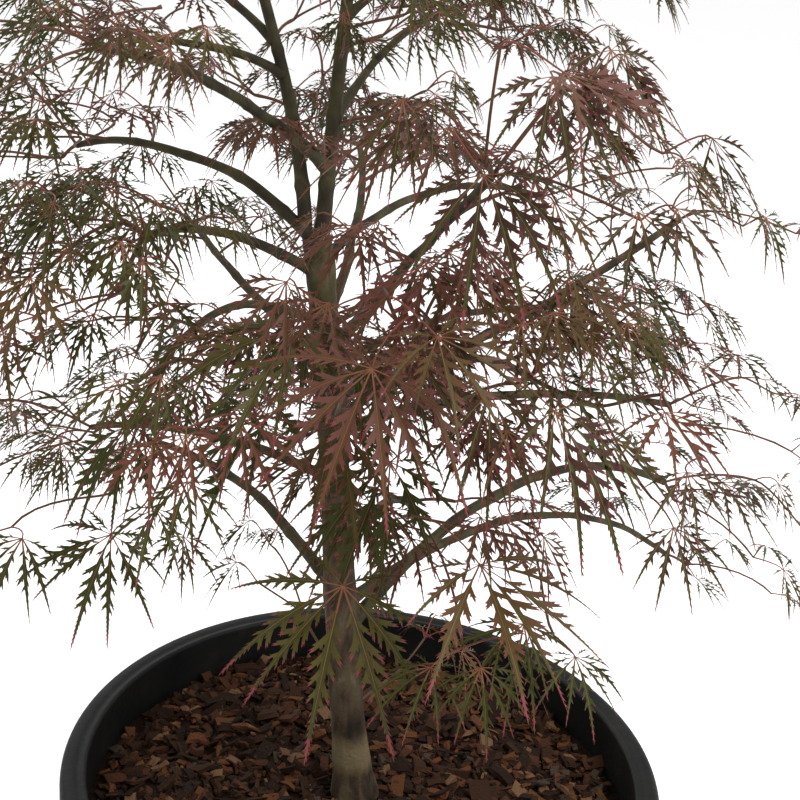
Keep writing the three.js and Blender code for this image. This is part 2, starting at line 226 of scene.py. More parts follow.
# What joining a twig node to a parent costs beyond their distance: a share of it for turning off the
# parent's way, a share of the parent's run from the bough, and some mm for each twig the parent has.
TURN_COST, RUN_COST, FORK_COST = 0.8, 0.35, 4

LEAF_TRIES = 6  # for a generic leaf, of which the one that stays furthest inside its pad is kept
ROOM_OUTSIDE = 16  # mm that a leaf's tips may hang out of its pad
ROOM_OUTSIDE_AT_TIP = 50  # the same for the leaf that ends a twig

FINEST_TWIG = 0.52  # mm, its radius
STALK_RADII = (0.46, 0.32)  # mm, at the twig and at the leaf
SHOOT_RADIUS = 0.8  # mm
SHOOT_LENGTHS = (32, 62)  # mm
SHOOT_LEAF = 0.8  # of the region's leaf length
SHOOT_PLACES = (0.84, 0.7)  # of the side shoots of a bough, along it

# Shoots straight off the stems: the height on the trunk in mm or the place along a leader, the heading in
# degrees, and the length in mm. Their leaves join the given region's.
STEM_SHOOTS = {
    "trunk": ((322, 44, 66), (348, 128, 96)),
    "left_leader": ((0.22, 100, 52), (0.34, 200, 40), (0.5, 75, 50), (0.62, 140, 44), (0.8, 250, 40)),
    "right_leader": (
        (0.12, 80, 60), (0.2, 250, 38), (0.26, 335, 56), (0.3, 110, 54), (0.4, 276, 42), (0.42, 20, 44),
        (0.46, 350, 62), (0.56, 150, 50), (0.6, 315, 56), (0.72, 60, 46),
    ),
}
SHOOT_REGIONS = {"trunk": "back", "left_leader": "left_high", "right_leader": "top"}

# The base colours of leaves. CORE_TINTS gives, for each blade tint in turn, the index of the blade tint that
# its lobes have along their middle.
BLADE_TINTS = {
    "bronze_green": (0.037, 0.041, 0.007),
    "olive": (0.064, 0.050, 0.011),
    "brown": (0.087, 0.041, 0.016),
    "purple": (0.104, 0.040, 0.030),
    "dark_purple": (0.055, 0.021, 0.015),
    "wine": (0.118, 0.035, 0.027),
}
CORE_TINTS = (0, 0, 1, 2, 0, 2)
EDGE_TINT = (0.160, 0.034, 0.036)
VEIN_TINT = (0.180, 0.066, 0.030)

BLADE, CORE, EDGE, VEIN = range(4)  # the zones of a lobe

# One lobe of a leaf, in units of its length: where its vein is bare, where its toothed tip starts, its half
# width along it, and the length of its side lobes between the bare vein and the tip.
BARE_VEIN = 0.15
TAIL_START = 0.66
LOBE_STATIONS = (0, 0.15, 0.2, 0.28, 0.36, 0.44, 0.52, 0.6, 0.68, 0.76, 0.85, 1)
BLADE_WIDTHS = (
    (0, 0.0055), (0.15, 0.0065), (0.22, 0.015), (0.38, 0.024),
    (0.55, 0.020), (0.72, 0.013), (0.88, 0.008), (1, 0.001),
)
SIDE_LENGTHS = ((0, 0.09), (0.25, 0.17), (0.5, 0.165), (0.8, 0.12), (1, 0.075))
VEIN_WIDTH = 0.0028
CRIMSON_START = 0.82
TOOTH_STEP = 0.04
FINE_LEAF = 46  # leaves longer than this, in mm, get the fully toothed lobes

# The lobes of a leaf: degrees from its middle lobe, and length as a share of it. Most leaves whose middle
# lobe is shorter than LARGE_LEAF, in mm, lack the last two.
LOBES = (
    (0, 1), (27, 0.95), (-27, 0.95), (55, 0.84), (-55, 0.84), (86, 0.62), (-86, 0.62),
    (124, 0.38), (-124, 0.38),
)
LARGE_LEAF = 52

# ---- Pot, mulch and floor, in millimetres ----

# The rim and base are radii, and band is a raised one: from, to, and how far it stands out.
POT = {
    "height": 290, "rim": 175, "base": 131, "wall": 3, "floor": 4, "lip": 25, "overhang": 12, "round": 5,
    "band": (168, 182, 0.5),
}
POT_TINTS = ((0.35, (0.005, 0.005, 0.005)), (0.6, (0.008, 0.0078, 0.0072)), (0.8, (0.020, 0.017, 0.014)))
MOUND = 24  # the radius of the level ground round the trunk
MULCH_SAG = 5  # from there to the pot's wall
SOIL_DEPTH = 3  # of the soil below the level of the mulch
CHIPS = 5200
SOIL_TINT = (0.010, 0.004, 0.002)
# The base colour of each kind of bark chip, and the share of the chips that are of that kind.
CHIP_TINTS = {
    "dark": ((0.014, 0.006, 0.003), 0.30),
    "brown": ((0.026, 0.011, 0.005), 0.26),
    "red": ((0.045, 0.017, 0.008), 0.20),
    "orange": ((0.078, 0.029, 0.011), 0.13),
    "pale": ((0.115, 0.060, 0.030), 0.07),
    "grey": ((0.038, 0.027, 0.018), 0.04),
}
FLOOR_RADIUS = 30000
FLOOR_SIDES = 64


# ---- Materials ----


def add_node(material, kind, output, **inputs):
    """Adds a shader node and returns its output. An input is a value or a socket to link from."""
    node = material.node_tree.nodes.new(f"ShaderNode{kind}")
    for name, value in inputs.items():
        socket = node.inputs[name.replace("_", " ")]
        if isinstance(value, bpy.types.NodeSocket):
            material.node_tree.links.new(value, socket)
        else:
            socket.default_value = value
    return node.outputs[output]


def add_ramp(material, factor, stops):
    """A colour ramp over a socket. stops are (place on the ramp, colour)."""
    color = add_node(material, "ValToRGB", "Color", Fac=factor)
    elements = color.node.color_ramp.elements
    while len(elements) < len(stops):
        elements.new(0.5)
    for element, (position, tint) in zip(elements, stops):
        element.position = position
        element.color = (*tint, 1)
    return color


def new_material(name, base, roughness, bump_scale, bump_height, specular=0.5, roughness_spread=0.1):
    """A Principled material with a plain base colour, a noise-driven roughness and a fine bump."""
    material = bpy.data.materials.new(name)
    material.use_nodes = True
    shader = material.node_tree.nodes["Principled BSDF"]
    shader.inputs["Base Color"].default_value = (*base, 1)
    shader.inputs["Specular IOR Level"].default_value = specular
    place = add_node(material, "TexCoord", "Object")
    grain = add_node(material, "TexNoise", "Fac", Vector=place, Scale=bump_scale, Detail=4)
    low, high = roughness - roughness_spread, roughness + roughness_spread
    spread = add_node(material, "MapRange", "Result", Value=grain, To_Min=low, To_Max=high)
    bump = add_node(material, "Bump", "Normal", Height=grain, Distance=bump_height, Strength=0.6)
    material.node_tree.links.new(spread, shader.inputs["Roughness"])
    material.node_tree.links.new(bump, shader.inputs["Normal"])
    return material


def color_by_noise(material, stops, scale, stretch=(1, 1, 1), detail=6, distortion=0.0):
    """Colours a material by a noise ramp."""
    place = add_node(material, "TexCoord", "Object")
    stretched = add_node(material, "Mapping", "Vector", Vector=place, Scale=stretch)
    pattern = add_node(
        material, "TexNoise", "Fac", Vector=stretched, Scale=scale, Detail=detail, Distortion=distortion,
    )
    base = material.node_tree.nodes["Principled BSDF"].inputs["Base Color"]
    material.node_tree.links.new(add_ramp(material, pattern, stops), base)
    return material


def leaf_materials():
    """One blade material for each tint, then the edge and the vein material."""
    made = [
        new_material(f"leaf_{name}", base, 0.45, 900, 0.0004, specular=0.15)
        for name, base in BLADE_TINTS.items()
    ]
    made.append(new_material("leaf_edge", EDGE_TINT, 0.5, 900, 0.0003, specular=0.2))
    made.append(new_material("leaf_vein", VEIN_TINT, 0.45, 900, 0.0003, specular=0.3))
    return made


# ---- Meshes from arrays ----


class MeshParts:
    """Collects triangles from many small parts, to be joined into one object."""

    def __init__(self):
        self.vertices, self.triangles, self.slots, self.count = [], [], [], 0

    def add(self, vertices, triangles, slots=0):
        self.vertices.append(np.asarray(vertices, float).reshape(-1, 3))
        self.triangles.append(np.asarray(triangles, int).reshape(-1, 3) + self.count)
        self.slots.append(np.broadcast_to(slots, len(self.triangles[-1])))
        self.count += len(self.vertices[-1])

    def build(self, name, materials, slot, *nodes):
        vertices = np.concatenate(self.vertices)
        triangles = np.concatenate(self.triangles)
        mesh = bpy.data.meshes.new(name)
        mesh.vertices.add(len(vertices))
        mesh.vertices.foreach_set("co", vertices.astype(np.float32).ravel())
        mesh.loops.add(triangles.size)
        mesh.loops.foreach_set("vertex_index", triangles.astype(np.int32).ravel())
        mesh.polygons.add(len(triangles))
        mesh.polygons.foreach_set("loop_start", np.arange(0, triangles.size, 3, dtype=np.int32))
        for material in materials:
            mesh.materials.append(material)
        mesh.polygons.foreach_set("material_index", np.concatenate(self.slots).astype(np.int32))
        mesh.polygons.foreach_set("use_smooth", np.ones(len(triangles), bool))
        mesh.update(calc_edges=True)
        mesh.validate()
        piece = bpy.data.objects.new(name, mesh)
        bpy.context.scene.collection.objects.link(piece)
        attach(piece, "root")
        if nodes:
            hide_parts(*nodes)
        return piece


def unit(vectors):
    return vectors / np.maximum(np.linalg.norm(vectors, axis=-1, keepdims=True), 1e-9)


def cross_directions(points):
    """Two directions across a path at each of its points, carried along it without twist."""
    tangents = unit(np.gradient(points, axis=0))
    start = np.cross(tangents[0], UP if abs(tangents[0][2]) < 0.9 else np.array([1.0, 0, 0]))
    sides = [unit(start)]
    for tangent in tangents[1:]:
        sides.append(unit(sides[-1] - tangent * (sides[-1] @ tangent)))
    sides = np.array(sides)
    return sides, np.cross(tangents, sides)


def wall_faces(rows, sides):
    """The triangles of a wall that joins rings of vertices."""
    row, column = np.meshgrid(np.arange(rows - 1), np.arange(sides), indexing="ij")
    a, b = row * sides + column, row * sides + (column + 1) % sides
    c, d = a + sides, b + sides
    return np.concatenate([np.stack([a, b, d], -1).reshape(-1, 3), np.stack([a, d, c], -1).reshape(-1, 3)])


def tube(points, radii, sides):
    """A closed tube. radii holds one radius for each point, or one for each point and side."""
    points = np.asarray(points, float)
    radii = np.asarray(radii, float)
    radii = np.broadcast_to(radii if radii.ndim == 2 else radii.reshape(-1, 1), (len(points), sides))
    across, over = cross_directions(points)
    angles = np.linspace(0, 2 * math.pi, sides, endpoint=False)
    ring = across[:, None] * np.cos(angles)[None, :, None] + over[:, None] * np.sin(angles)[None, :, None]
    rings = points[:, None] + ring * radii[..., None]
    vertices = np.concatenate([rings.reshape(-1, 3), points[:1], points[-1:]])
    first, last = len(vertices) - 2, len(vertices) - 1
    turn = np.arange(sides)
    onward = (turn + 1) % sides
    end = (len(points) - 1) * sides
    near_cap = np.stack([onward, turn, np.full(sides, first)], -1)
    far_cap = np.stack([turn + end, onward + end, np.full(sides, last)], -1)
    return vertices, np.concatenate([wall_faces(len(points), sides), near_cap, far_cap])


def lathe(profile, sides, wobble=None):
    """A surface turned round Z from (radius, height) points. wobble(x, y) lifts each vertex."""
    angles = np.linspace(0, 2 * math.pi, sides, endpoint=False)
    profile = np.asarray(profile, float)
    x = profile[:, :1] * np.cos(angles)
    y = profile[:, :1] * np.sin(angles)
    z = np.broadcast_to(profile[:, 1:], x.shape).copy()
    if wobble is not None:
        z += wobble(x, y)
    return np.stack([x, y, z], -1).reshape(-1, 3), wall_faces(len(profile), sides)


# ---- Limb lines ----


def trunk_point(height):
    t = (height - GROUND) / (TRUNK["fork_height"] - GROUND)
    lean = TRUNK["foot_x"] + (TRUNK["fork_x"] - TRUNK["foot_x"]) * t
    x = lean + TRUNK["sway"] * math.sin(2 * math.pi * t)
    return np.array([x, TRUNK["sway"] * math.sin(3 * math.pi * t), height]) * MM


def trunk_radius(t):
    """The stem's radius at a share of the way up to the fork, and how much the root flare adds there."""
    taper = (TRUNK["fork_radius"] - TRUNK["foot_radius"]) * (0.4 * math.sqrt(t) + 0.6 * t)
    height = t * (TRUNK["fork_height"] - GROUND)
    swell = math.exp(-3 * (height / TRUNK["flare_height"]) ** 2)
    return (TRUNK["foot_radius"] + taper) * MM, (TRUNK["flare"] - TRUNK["foot_radius"]) * swell * MM


def leader_point(name, t):
    leader = LEADERS[name]
    onset = math.sqrt(min(t / 0.04, 1)) * (1 - t)
    x = leader["start_x"] * onset + leader["lean"][0] * t ** 1.4
    y = leader["lean"][1] * t + leader["bow"] * math.sin(math.pi * t)
    return trunk_point(TRUNK["fork_height"]) + np.array([x, y, leader["rise"] * t]) * MM


def bough_line(place, steps):
    """Points along a bough from its parent limb's middle to its end, in metres."""
    parent, height, heading, reach, rise, arch, bow = BOUGHS[place][:7]
    if parent == "trunk":
        root = trunk_point(height)
    else:
        root = leader_point(parent, (height - TRUNK["fork_height"]) / LEADERS[parent]["rise"])
    out = np.array([math.cos(math.radians(heading)), math.sin(math.radians(heading)), 0])
    left = np.array([-out[1], out[0], 0])
    t = np.linspace(0, 1, steps)[:, None]
    hump = 4 * t * (1 - t)
    return root + (out * reach * t + left * bow * hump + UP * (rise * t + arch * hump)) * MM


# ---- Bark ----


def steady_noise(place):
    """A noise vector that is the same in every run, which noise.noise_vector's isn't."""
    return [noise.noise(place + Vector((0, 0, shift))) for shift in (0, 40, 80)]


def bark_relief(points, radii, sides, seed, depth, buds=()):
    """Radii for each point and side of a limb, with ridges along it, fine grain, and rings at its buds."""
    lengths = np.concatenate([[0], np.cumsum(np.linalg.norm(np.diff(points, axis=0), axis=1))])
    angles = np.linspace(0, 2 * math.pi, sides, endpoint=False)
    shaped = np.empty((len(points), sides))
    for i, (length, radius) in enumerate(zip(lengths, radii)):
        ring = sum(math.exp(-(((length - bud) / (BUD_RING["half_length"] * MM)) ** 2)) for bud in buds)
        for j, angle in enumerate(angles):
            turn = Vector((math.cos(angle) * 1.6, math.sin(angle) * 1.6, length * 14 + seed * 7.3))
            ridge = noise.noise(turn * 2.2)
            grain = noise.noise(Vector((turn.x * 9, turn.y * 9, length * 160 + seed)))
            lump = noise.noise(Vector((turn.x, turn.y, length * 45 + seed * 3.1)))
            relief = depth * (0.9 * ridge + 0.5 * grain + 0.9 * lump)
            shaped[i, j] = radius * (1 + relief + BUD_RING["swell"] * ring)
    return shaped


def add_trunk(parts):
    steps, sides = 300, 56
    heights = np.linspace(GROUND - 2, TRUNK["fork_height"] + 4, steps)
    points = np.array([trunk_point(height) for height in heights])
    angles = np.linspace(0, 2 * math.pi, sides, endpoint=False)
    radii = bark_relief(points, np.ones(steps), sides, 1, 0.05)
    for i, height in enumerate(heights):
        t = min(max((height - GROUND) / (TRUNK["fork_height"] - GROUND), 0), 1)
        stem, flare = trunk_radius(t)
        over_graft = (height - GROUND - GRAFT["height"]) / GRAFT["half_length"]
        graft = GRAFT["swell"] * MM * math.exp(-(over_graft ** 2))
        collars = 0.0
        for parent, root_height, heading, *_ in BOUGHS.values():
            if parent == "trunk":
                near = math.exp(-(((height - root_height) / COLLAR["half_length"]) ** 2))
                facing = np.clip(np.cos(angles - math.radians(heading)), 0, 1) ** 3
                collars = collars + COLLAR["swell"] * MM * near * facing
        lobed = flare * (1 + TRUNK["lobe_depth"] * np.cos(TRUNK["lobes"] * angles))
        radii[i] = radii[i] * (stem + graft) + lobed + collars
    ring = np.stack([np.cos(angles), np.sin(angles), np.zeros(sides)], -1)
    rings = points[:, None] + ring[None] * radii[..., None]
    vertices, triangles = tube(points, 1.0, sides)
    vertices[: steps * sides] = rings.reshape(-1, 3)
    parts.add(vertices, triangles, 0)


def add_leader(parts, name, index):
    sides = 20
    points = np.array([leader_point(name, t) for t in np.linspace(0.005, 1, 140)])
    radii = np.linspace(*LEADERS[name]["radii"], len(points)) * MM
    buds = np.arange(LEADER_BUDS["first"], LEADER_BUDS["last"], LEADER_BUDS["spacing"]) * MM
    parts.add(*tube(points, bark_relief(points, radii, sides, 5 + index, 0.07, buds), sides), 1)


def add_bough(parts, place, index):
    """A bough's tapering limb with a swollen root, which wanders a little off its even curve."""
    sides = 14
    points = bough_line(place, 80)
    along = np.linspace(0, 1, len(points))
    root, tip = BOUGHS[place][7:]
    radii = (tip + (root - tip) * (1 - along) ** 1.2) * MM
    radii *= 1 + 0.5 * np.exp(-((along / 0.05) ** 2))
    first_bud = BOUGH_BUDS["first"] + 4 * (index % 3)
    buds = np.arange(first_bud, BOUGH_BUDS["last"], BOUGH_BUDS["spacing"]) * MM
    shaped = bark_relief(points, radii, sides, 10 + index, 0.08, buds)
    wander = np.array([steady_noise(Vector(p) * 30 + Vector((index, 0, 0))) for p in points])
    fade = np.sin(math.pi * along)[:, None]
    parts.add(*tube(points + wander * fade * BOUGH_WANDER * MM, shaped, sides), 1)


def build_limbs():
    parts = MeshParts()
    add_trunk(parts)
    for index, name in enumerate(LEADERS):
        add_leader(parts, name, index)
    for index, place in enumerate(BOUGHS):
        add_bough(parts, place, index)
    nodes = ["trunk", *LEADERS, *(f"bough_{place}" for place in BOUGHS)]
    parts.build("bark", [trunk_material(), bough_material()], "trunk_bark", *nodes)


def mix_by_height(material, other, levels):
    """Mixes a material's colour towards another socket or colour, by (height in mm, share) levels."""
    links = material.node_tree.links
    base = material.node_tree.nodes["Principled BSDF"].inputs["Base Color"]
    low, high = levels[0][0], levels[-1][0]
    place = add_node(material, "TexCoord", "Object")
    height = add_node(material, "SeparateXYZ", "Z", Vector=place)
    rise = add_node(material, "MapRange", "Result", Value=height, From_Min=low * MM, From_Max=high * MM)
    stops = [((level - low) / (high - low), (share, share, share)) for level, share in levels]
    mix = material.node_tree.nodes.new("ShaderNodeMix")
    mix.data_type = "RGBA"
    links.new(add_ramp(material, rise, stops), mix.inputs["Factor"])
    links.new(base.links[0].from_socket, mix.inputs["A"])
    if isinstance(other, tuple):
        mix.inputs["B"].default_value = (*other, 1)
    else:
        links.new(other, mix.inputs["B"])
    links.new(mix.outputs["Result"], base)


def trunk_material():
    """Brown bark that turns green towards the fork, with a pale band round the healed graft near the foot.
    The pale band is partly the lower bark's own grey-tan and partly a painted highlight of the lit foot.
    """
    material = new_material("trunk_bark", (0.06, 0.04, 0.02), 0.8, 420, 0.0012, specular=0.25)
    base = material.node_tree.nodes["Principled BSDF"].inputs["Base Color"]
    color_by_noise(material, GREEN_BARK, 70, distortion=0.2)
    green = base.links[0].from_socket
    color_by_noise(material, BROWN_BARK, 130, stretch=(1, 1, 0.3), detail=8, distortion=0.4)
    mix_by_height(material, green, ((GROUND + GREEN_ABOVE, 0), (TRUNK["fork_height"], 1)))
    # The pale band near the foot: the bark's own grey-tan with a painted highlight in it.
    mix_by_height(material, PALE_BARK_AND_HIGHLIGHT, [(GROUND + height, share) for height, share in PALE_AND_HIGHLIGHT_BAND])
    return material


def bough_material():
    material = new_material("bough_bark", (0.05, 0.04, 0.02), 0.7, 500, 0.0008, specular=0.25)
    return color_by_noise(material, GREEN_BARK, 70, distortion=0.2)


# ---- Twigs ----


class Spray:
    """A twig node: where it is, its parent node, and the way the twig runs there."""

    def __init__(self, position, parent, direction, run):
        self.position, self.parent, self.direction, self.run = position, parent, direction, run
        self.children, self.load = [], 1.0
        self.near_leaf = None


def pad_tree(place):
    mesh = frame["nodes"][f"foliage_{place}"].data
    return BVHTree.FromPolygons([v.co for v in mesh.vertices], [p.vertices for p in mesh.polygons])


def depth_inside(tree, point):
    """How far a point lies inside a pad, negative outside it."""
    nearest, normal, _, distance = tree.find_nearest(Vector(point))
    return distance if (Vector(point) - nearest).dot(normal) < 0 else -distance


def spread_points(place, tree, root, leaf, spacing, rng):
    """Evenly spread twig nodes for one pad, each with room for its hanging leaves."""
    low, high = (np.array(corner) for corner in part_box(f"foliage_{place}"))
    kept = []
    for candidate in rng.uniform(low, high, (PLACES_TRIED, 3)):
        outward = unit((candidate - root) * LEVEL)
        leaf_tip = candidate + outward * 0.5 * leaf - UP * 0.4 * leaf
        if np.linalg.norm(candidate - root) < 10 * MM:
            continue
        if depth_inside(tree, candidate) > 3 * MM and depth_inside(tree, leaf_tip) > -8 * MM:
            kept.append(candidate)
    kept = np.array(kept or [(low + high) / 2])
    reach = np.linalg.norm(kept - root, axis=1)
    kept = kept[reach <= PAD_OUTERMOST.get(place, OUTERMOST_NODE) * reach.max()]
    chosen = [kept[np.argmin(np.linalg.norm(kept - root, axis=1))]]
    reach = np.linalg.norm(kept - chosen[0], axis=1)
    while reach.max() > spacing and len(chosen) < MOST_NODES:
        chosen.append(kept[reach.argmax()])
        reach = np.minimum(reach, np.linalg.norm(kept - chosen[-1], axis=1))
    return chosen


def leaf_room(tree, junction, facing, length):
    """How far inside a pad a leaf stays, judged at the tips of its middle lobe and two side lobes."""
    side = unit(np.cross(facing, UP))
    tips = []
    for angle, share in ((0, 1), (50, 0.85), (-50, 0.85)):
        way = facing * math.cos(math.radians(angle)) + side * math.sin(math.radians(angle))
        tips.append(junction + (way * 0.88 - UP * 0.35) * length * share)
    return min(depth_inside(tree, tip) for tip in tips)


def join_sprays(root, direction, points):
    """Joins twig nodes into one branching tree: each takes the parent that gives a short, forward path."""
    sprays = [Spray(root, None, direction, 0.0)]
    for point, near_leaf in sorted(points, key=lambda item: np.linalg.norm(item[0] - root)):
        best, lowest = None, math.inf
        for spray in sprays:
            step = point - spray.position
            length = np.linalg.norm(step)
            if length < 4 * MM or spray.near_leaf is not None:
                continue
            turn = 1 - step @ spray.direction / length
            cost = length * (1 + TURN_COST * turn) + RUN_COST * spray.run
            cost += FORK_COST * MM * len(spray.children)
            if cost < lowest:
                best, lowest = spray, cost
        step = point - best.position
        made = Spray(point, best, unit(unit(step) + 0.5 * best.direction), best.run + np.linalg.norm(step))
        made.near_leaf = near_leaf
        best.children.append(made)
        sprays.append(made)
    for spray in reversed(sprays[1:]):
        spray.parent.load += spray.load
    return sprays


def bend(start, start_direction, end, end_direction, count, rng, wander):
    """A smooth path between two points that leaves and arrives in the given directions."""
    t = np.linspace(0, 1, count)[:, None]
    reach = np.linalg.norm(end - start)
    smooth = 3 * t ** 2 - 2 * t ** 3
    path = start * (1 - smooth) + end * smooth
    path = path + 0.7 * reach * (t ** 3 - 2 * t ** 2 + t) * start_direction
    path = path + 0.7 * reach * (t ** 3 - t ** 2) * end_direction
    sway = rng.normal(0, wander * reach, 3)
    return path + sway * np.sin(math.pi * t) + UP * 0.05 * reach * np.sin(math.pi * t)


def twig_radius(load, thickest):
    """A twig's radius by how many twig nodes it carries."""
    return min(FINEST_TWIG * MM * load ** 0.42, thickest)


def heading_vector(heading, tilt):
    """A direction by its heading and its downward tilt, in degrees."""
    flat = math.cos(math.radians(tilt))
    angle = math.radians(heading)
    return np.array([flat * math.cos(angle), flat * math.sin(angle), -math.sin(math.radians(tilt))])


def pick_tint(region, rng):
    """The blade tint of a spray, as an index, by the region's shares."""
    shares = np.array(region["tints"])
    return rng.choice(len(shares), p=shares / shares.sum())


class Crown:
    """Grows twigs, leaf stalks and leaves, and keeps them for the pieces they are joined into."""

    def __init__(self):
        self.twigs, self.stalks = MeshParts(), MeshParts()
        self.leaves = []

    def add_twig(self, spray, thickest, rng):
        parent = spray.parent
        setting_off = unit(parent.direction * 0.6 + unit(spray.position - parent.position))
        path = bend(parent.position, setting_off, spray.position, spray.direction, 8, rng, 0.04)
        start = twig_radius(spray.load + 0.6, thickest)
        end = twig_radius(spray.load, thickest)
        radii = np.linspace(start, end, len(path))
        radii[-2] *= 1.2
        self.twigs.add(*tube(path, radii, 7), 0 if spray.load > 4 else 1)

    def add_leaf(self, node, direction, junction, facing, length, tint, rng):
        """A stalk from a twig node to where the lobes meet, and the leaf there."""
        path = bend(node, direction, junction, unit(facing + UP * 0.3), 7, rng, 0.04)
        self.stalks.add(*tube(path, np.linspace(*STALK_RADII, len(path)) * MM, 5))
        self.leaves.append((junction, facing, length, tint))

    def add_pair(self, tree, spray, leaf, outward, tint, rng):
        """Two opposite leaves at a twig node, and one more ahead where the twig ends."""
        side = unit(np.cross(spray.direction, UP) + rng.normal(0, 0.15, 3))
        lift = np.cross(side, spray.direction)
        spin = rng.uniform(-0.5, 0.5)
        across = side * math.cos(spin) + lift * math.sin(spin)
        ways = [across + 0.55 * spray.direction, 0.55 * spray.direction - across]
        if not spray.children:
            ways.append(spray.direction)
        for way in ways:
            ends_twig = not spray.children and way is ways[-1]
            best, most_room = None, -(ROOM_OUTSIDE_AT_TIP if ends_twig else ROOM_OUTSIDE) * MM
            for _ in range(LEAF_TRIES):
                length = leaf * rng.uniform(0.72, 1.12)
                direction = unit(way + UP * 0.25 + rng.normal(0, 0.2, 3))
                junction = spray.position + direction * length * rng.uniform(0.36, 0.6)
                level = unit((direction + outward * 0.7 + rng.normal(0, 0.35, 3)) * LEVEL)
                tilt = math.radians(rng.uniform(18, 60))
                facing = level * math.cos(tilt) - UP * math.sin(tilt)
                room = min(leaf_room(tree, junction, facing, length), 0) if tree else 0
                if room > most_room:
                    best, most_room = (direction, junction, facing, length), room
            if best:
                self.add_leaf(spray.position, *best, tint, rng)

    def grow_shoot(self, root, direction, onward, length, region, rng):
        """A thin shoot off a limb, with one leafy side twig on the way and a few leaves at its end."""
        leaf = region["leaf"] * SHOOT_LEAF * MM
        tint = pick_tint(region, rng)
        start = Spray(root, None, direction, 0.0)
        middle = Spray(root + direction * length * 0.5, start, unit(direction + 0.3 * onward), 0.0)
        middle.load = 3.0
        tip = middle.position + middle.direction * length * 0.5
        end = Spray(tip, middle, unit(middle.direction - UP * 0.3), 0.0)
        away = unit(np.cross(middle.direction, UP)) * rng.choice((-1, 1))
        way = unit(middle.direction * 0.6 + away * 0.7 + UP * rng.uniform(-0.3, 0.3))
        aside = Spray(middle.position + way * length * rng.uniform(0.35, 0.6), middle, way, 0.0)
        for spray in (middle, end, aside):
            self.add_twig(spray, SHOOT_RADIUS * MM, rng)
        self.add_pair(None, end, leaf, direction, tint, rng)
        facing = unit(way * LEVEL - UP * rng.uniform(0.3, 0.9))
        junction = aside.position + unit(way + UP * 0.2) * leaf * 0.5
        self.add_leaf(aside.position, way, junction, facing, leaf, tint, rng)

    def grow_side_shoots(self, place, region, rng):
        """Shoots from the outer half of a bough, to either side in turn."""
        line = bough_line(place, 41)
        for index, t in enumerate(SHOOT_PLACES[: region["shoots"]]):
            step = int((t + rng.uniform(-0.04, 0.04)) * 40)
            along = unit(line[step + 1] - line[step])
            side = unit(np.cross(along, UP)) * (1 if index % 2 else -1)
            direction = unit(side + 0.5 * along + UP * rng.uniform(-0.1, 0.5))
            self.grow_shoot(line[step], direction, along, rng.uniform(*SHOOT_LENGTHS) * MM, region, rng)

    def grow_stem_shoots(self, stem, shoots, region, rng):
        """Shoots straight off the trunk or a leader. shoots are (place on it, heading, length) rows."""
        for place, heading, length in shoots:
            root = trunk_point(place) if stem == "trunk" else leader_point(stem, place)
            direction = heading_vector(heading, -20)
            self.grow_shoot(root, direction, UP, length * MM, region, rng)

    def grow_pad(self, place, root, direction, thickest, region, rng):
        leaf = region["leaf"] * MM
        spacing = PAD_SPACING.get(place, region["spacing"]) * MM
        tree = pad_tree(place)
        near = NEAR_LEAVES.get(place, [])
        taken = [np.array(entry[:3]) * MM for entry in near]
        clear = [0.55 * entry[3] * MM for entry in near]
        points = []
        for point in spread_points(place, tree, root, leaf, spacing, rng):
            if all(np.linalg.norm(point - junction) > room for junction, room in zip(taken, clear)):
                points.append((point, None))
        for entry, junction in zip(near, taken):
            length, heading, tilt = entry[3:6]
            back = heading_vector(heading, tilt * 0.3)
            points.append((junction - back * length * 0.45 * MM + UP * 4 * MM, entry))
        sprays = join_sprays(root, direction, points)
        for spray in sprays[1:]:
            self.add_twig(spray, thickest, rng)
            tint = pick_tint(region, rng)
            outward = unit((spray.position - root) * LEVEL + 1e-6)
            if spray.near_leaf is None:
                self.add_pair(tree, spray, leaf, outward, tint, rng)
                continue
            *junction, length, heading, tilt, name = spray.near_leaf
            junction = np.array(junction) * MM
            facing = heading_vector(heading, tilt)
            tint = list(BLADE_TINTS).index(name)
            self.add_leaf(spray.position, spray.direction, junction, facing, length * MM, tint, rng)


# ---- Leaves ----


